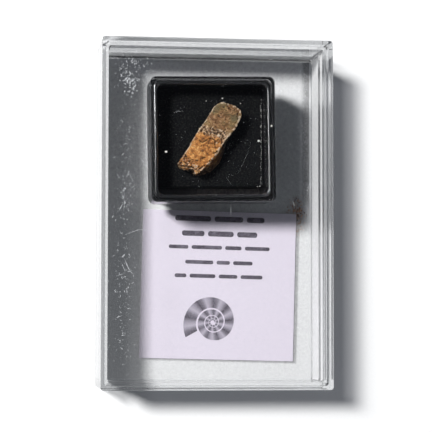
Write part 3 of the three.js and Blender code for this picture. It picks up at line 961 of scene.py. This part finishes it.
SCRATCH_DEPTH = 0.02      # under the lid's upper face
SCRATCH_GROUPS = [        # middle, spread, number, shortest, longest, widest
    ((-21.6, 31.6), (1.9, 2.6), 70, 0.35, 1.0, 0.2),
    ((-21.2, 36.6), (2.2, 1.8), 34, 0.3, 0.8, 0.16),
    ((-23.6, 33.5), (1.6, 4.4), 34, 0.3, 0.8, 0.13),
    ((-17.6, 33.5), (1.4, 3.2), 34, 0.25, 0.7, 0.12),
    ((-22.0, 20.0), (2.6, 7.0), 44, 0.3, 0.8, 0.13),
    ((-23.2, 5.0), (2.0, 6.0), 60, 0.3, 0.9, 0.14),
    ((-23.0, -12.0), (2.4, 9.0), 70, 0.25, 0.9, 0.13),
    ((-23.4, -30.0), (2.0, 8.0), 60, 0.25, 0.8, 0.12),
    ((-2.0, 38.6), (18.0, 1.2), 40, 0.2, 0.8, 0.1),
    ((0.0, 20.0), (13.0, 14.0), 90, 0.15, 0.5, 0.045),
    ((20.6, 22.0), (3.2, 14.0), 50, 0.25, 0.7, 0.11),
    ((22.6, 6.4), (1.0, 1.6), 20, 0.4, 0.8, 0.14),
    ((3.0, -18.0), (18.0, 16.0), 30, 0.2, 0.9, 0.04),
]
LONG_SCRATCHES = [        # points on the lid, and width
    ([(-19.6, 13.9), (-18.6, 12.6), (-17.2, 10.6)], 0.09),
    ([(-22.2, 10.3), (-21.4, 8.6), (-20.6, 7.0)], 0.08),
    ([(-21.9, 5.6), (-20.3, 6.6)], 0.08),
    ([(-24.3, 0.3), (-23.3, 2.2)], 0.12),
    ([(-23.6, 4.9), (-22.9, 2.6), (-23.1, 0.4)], 0.1),
    ([(-22.9, -11.2), (-21.9, -13.6), (-20.6, -15.3)], 0.12),
    ([(-23.6, -12.2), (-22.7, -14.4)], 0.1),
    ([(-24.8, -15.4), (-22.4, -14.6)], 0.08),
    ([(-22.4, -18.2), (-22.1, -20.0)], 0.1),
    ([(-25.0, -25.6), (-23.4, -24.9)], 0.09),
    ([(-16.2, -4.4), (-19.0, -4.0), (-22.8, -5.4)], 0.07),
    ([(-11.2, 24.4), (-9.9, 24.8), (-8.6, 24.9)], 0.025),
    ([(8.0, 17.6), (7.2, 14.9), (5.8, 11.6), (4.5, 9.4)], 0.012),
    ([(1.6, 9.2), (3.4, 6.8)], 0.02),
    ([(3.0, 1.6), (3.1, -0.9)], 0.07),
    ([(20.6, 35.2), (22.6, 33.6)], 0.08),
    ([(18.2, 3.4), (18.9, 1.9)], 0.08),
]
SCRATCHED_X = (-26.8, 26.5)
SCRATCHED_Y = (-41.0, 41.0)
SPREAD = 0.6        # a standard deviation, as a share of a group's or a heap's spread


def add_scratch(bm, points, width):
    """A thin strip along the points that narrows at both ends."""
    path = Path(points)
    height = CASE_TOP - SCRATCH_DEPTH
    steps = max(2, 2 * (len(points) - 1))
    start = path.point(0)
    ahead = (path.point(1 / steps) - start).normalized()
    side = Vector((-ahead.y, ahead.x))
    edge = bm.edges.new([bm.verts.new((*(start + side * width * sign), height)) for sign in (-0.08, 0.08)])
    for step in range(1, steps + 1):
        verts, (edge,) = draw_out(bm, [edge])
        centre = path.point(step / steps)
        half = width * (0.08 + 0.42 * math.sin(math.pi * step / steps))
        for vert, sign in zip(sorted(verts, key=lambda v: (v.co.to_2d() - centre).dot(side)), (-1, 1)):
            vert.co = (*(centre + side * half * sign), height)


def make_scratches():
    rng = random.Random(7)
    bm = bmesh.new()
    for points, width in LONG_SCRATCHES:
        add_scratch(bm, points, width)
    for (mid_x, mid_y), (spread_x, spread_y), count, shortest, longest, widest in SCRATCH_GROUPS:
        for _ in range(count):
            x = limited(rng.gauss(mid_x, spread_x * SPREAD), *SCRATCHED_X)
            y = limited(rng.gauss(mid_y, spread_y * SPREAD), *SCRATCHED_Y)
            length = rng.uniform(shortest, longest) * rng.uniform(0.4, 1)
            angle = rng.uniform(0, math.pi)
            ahead = Vector((math.cos(angle), math.sin(angle))) * length / 2
            bend = Vector((-ahead.y, ahead.x)) * rng.uniform(-0.15, 0.15)
            middle = Vector((x, y))
            width = widest * rng.uniform(0.45, 1)
            add_scratch(bm, [middle - ahead, middle + bend, middle + ahead], width)
    tones = [(0.35, (0.3, 0.31, 0.32)), (0.65, (0.85, 0.86, 0.88))]
    worn = mottled("scratched_plastic", (1.4, 2.0), tones, 0.5, 1.3)
    finished_piece("lid_scratches", bm, [worn], "case_lid_plastic")


DUST = [            # X, Y, what it lies on, size
    (-12.6, 15.1, "gem box", 0.3), (11.6, 19.0, "foam", 0.28), (13.55, 21.9, "gem box", 0.24),
    (2.4, 29.6, "foam", 0.19), (-1.7, 28.9, "foam", 0.13), (7.0, 28.4, "foam", 0.12),
    (16.3, -0.6, "card", 0.12), (12.1, 27.9, "foam", 0.08), (11.9, 7.6, "foam", 0.12),
    (11.3, 7.5, "foam", 0.1),
]
CRUMB_HEAPS = [     # X, Y, spread across and along, number, largest
    (23.0, 1.6, 1.7, 1.9, 230, 0.22), (23.3, -1.4, 1.4, 2.8, 190, 0.15), (22.9, 4.6, 1.4, 1.3, 80, 0.16),
]
CRUMBS_END = 25.9   # no crumb lies past this X
FOAM_LINT = (12.35, 7.9, 29.6, 90)     # X of the foam's right edge, from Y, to Y, number


def lint():
    return mottled("lint", (6, 2.0), [(0.35, (0.8, 0.77, 0.7)), (0.65, (1, 0.99, 0.96))], 0.8, 1.3)


def add_grain(bm, place, sizes, form, wobble=0.5, subdivisions=1):
    """A lump that stands on its place; form is the place in the noise that shapes it."""
    grain = bmesh.ops.create_icosphere(bm, subdivisions=subdivisions, radius=1.0)["verts"]
    for vert in grain:
        vert.co *= 1 + wobble * noise.noise(vert.co * 1.7 + form)
    bmesh.ops.scale(bm, vec=sizes, verts=grain)
    lowest = min(vert.co.z for vert in grain)
    bmesh.ops.translate(bm, vec=place - Vector((0, 0, lowest)), verts=grain)


def make_dust():
    rng = random.Random(11)
    heights = {"foam": FOAM_TOP, "card": CARD_TOP, "gem box": GEM_TOP}
    bm = bmesh.new()
    for x, y, carrier, size in DUST:
        place, form = Vector((x, y, heights[carrier])), Vector((x, y, 0))
        add_grain(bm, place, (size, size * rng.uniform(0.7, 1), size * 0.6), form, 0.25, 2)
    finished_piece("dust_grains", bm, [lint()], "black_foam")


def make_crumbs():
    """Crumbs off the fossil that lie between the card and the case's right wall."""
    rng = random.Random(5)
    bm = bmesh.new()
    for x, y, across, along, count, largest in CRUMB_HEAPS:
        for _ in range(count):
            crumb_x = min(CRUMBS_END, rng.gauss(x, across * SPREAD))
            place = Vector((crumb_x, rng.gauss(y, along * SPREAD), CASE_FLOOR))
            size = largest * rng.uniform(0.25, 1) ** 1.5
            add_grain(bm, place, (size, size * rng.uniform(0.6, 1), size * 0.5), place)
    debris = mottled("debris", (1.6, 3.0), [
        (0.36, (0.06, 0.028, 0.018)), (0.48, (0.3, 0.16, 0.1)), (0.62, (0.62, 0.42, 0.3)),
    ], 0.85, 1.3)
    finished_piece("fossil_crumbs", bm, [debris], "fossil_tooth")


def make_foam_lint():
    """Pale fibres and grains caught where the foam meets the rim."""
    rng = random.Random(3)
    bm = bmesh.new()
    edge, low, high, count = FOAM_LINT
    for _ in range(count):
        place = Vector((edge - abs(rng.gauss(0, 0.12)), rng.uniform(low, high), FOAM_TOP - 0.03))
        size = rng.uniform(0.02, 0.05)
        add_grain(bm, place, (size, size * rng.uniform(0.8, 3.0), size * 0.6), place)
    finished_piece("foam_lint", bm, [lint()], "black_foam")


make_case_base()
make_case_lid()
make_gem_base()
make_gem_lid()
make_foam()
make_card()
make_word_bars()
make_spiral_shell()
make_fossil()
make_scratches()
make_dust()
make_crumbs()
make_foam_lint()


# ---------------------------- studio

FLOOR_GAP = 0.03       # below the case's underside
FLOOR_SIDE = 4000


def make_floor():
    bm = bmesh.new()
    bmesh.ops.create_grid(
        bm, x_segments=1, y_segments=1, size=FLOOR_SIDE / 2, matrix=Matrix.Translation((0, 0, -FLOOR_GAP)),
    )
    tones = [(0.3, (0.87, 0.87, 0.87)), (0.7, (0.89, 0.89, 0.89))]
    paper = mottled("studio_floor", (1.5, 3.0), tones, 0.9, 1.3, relief=(0.01, 0.3))
    mesh_object("studio_floor", bm, [paper])


LAMP_PLACE = (-528, 260, 800)
LAMP_ANGLE = math.radians(10)
LAMP_POWER = 14.5


def make_lamp():
    place = Vector(LAMP_PLACE) * MM
    data = bpy.data.lights.new("soft_lamp", "AREA")
    data.shape = "DISK"
    data.size = 2 * math.tan(LAMP_ANGLE / 2) * place.length
    data.energy = LAMP_POWER
    lamp = new_object("soft_lamp", data)
    lamp.location = place
    lamp.rotation_euler = place.to_track_quat("Z", "Y").to_euler()


def make_sky():
    """A dim room: palest below and at the horizon, and dark straight overhead."""
    shader = Shader("studio_room", world=True)
    height = shader.levels(shader.axis("Z"), -1, 1)
    tone = shader.ramp(height, [
        (0.0, (0.2, 0.2, 0.21)), (0.5, (0.2, 0.21, 0.22)), (0.78, (0.15, 0.16, 0.175)),
        (0.93, (0.12, 0.13, 0.145)), (0.985, (0.012, 0.013, 0.016)),
    ])
    background = shader.add("ShaderNodeBackground", {"Color": tone})
    bpy.context.scene.world = shader.finish(background.outputs["Background"])


CAMERA_PLACE = Vector((-55.05, -26.60, 438.05))
CAMERA_TURN = (0.0615, -0.1302, 0.0014)
CAMERA_SENSOR = 36
CAMERA_FOCAL_PIXELS = 1726
PICTURE_PIXELS = 432


def make_camera():
    data = bpy.data.cameras.new("camera")
    data.sensor_width = CAMERA_SENSOR
    data.lens = CAMERA_SENSOR * CAMERA_FOCAL_PIXELS / PICTURE_PIXELS
    data.clip_start = 0.01
    data.clip_end = 20
    camera = new_object("camera", data)
    camera.location = CAMERA_PLACE * MM
    camera.rotation_euler = CAMERA_TURN
    bpy.context.scene.camera = camera


make_floor()
make_lamp()
make_sky()
make_camera()

scene = bpy.context.scene
scene.view_settings.view_transform = "Standard"
scene.cycles.max_bounces = 20
scene.cycles.transmission_bounces = 18
scene.cycles.glossy_bounces = 8
scene.cycles.transparent_max_bounces = 32
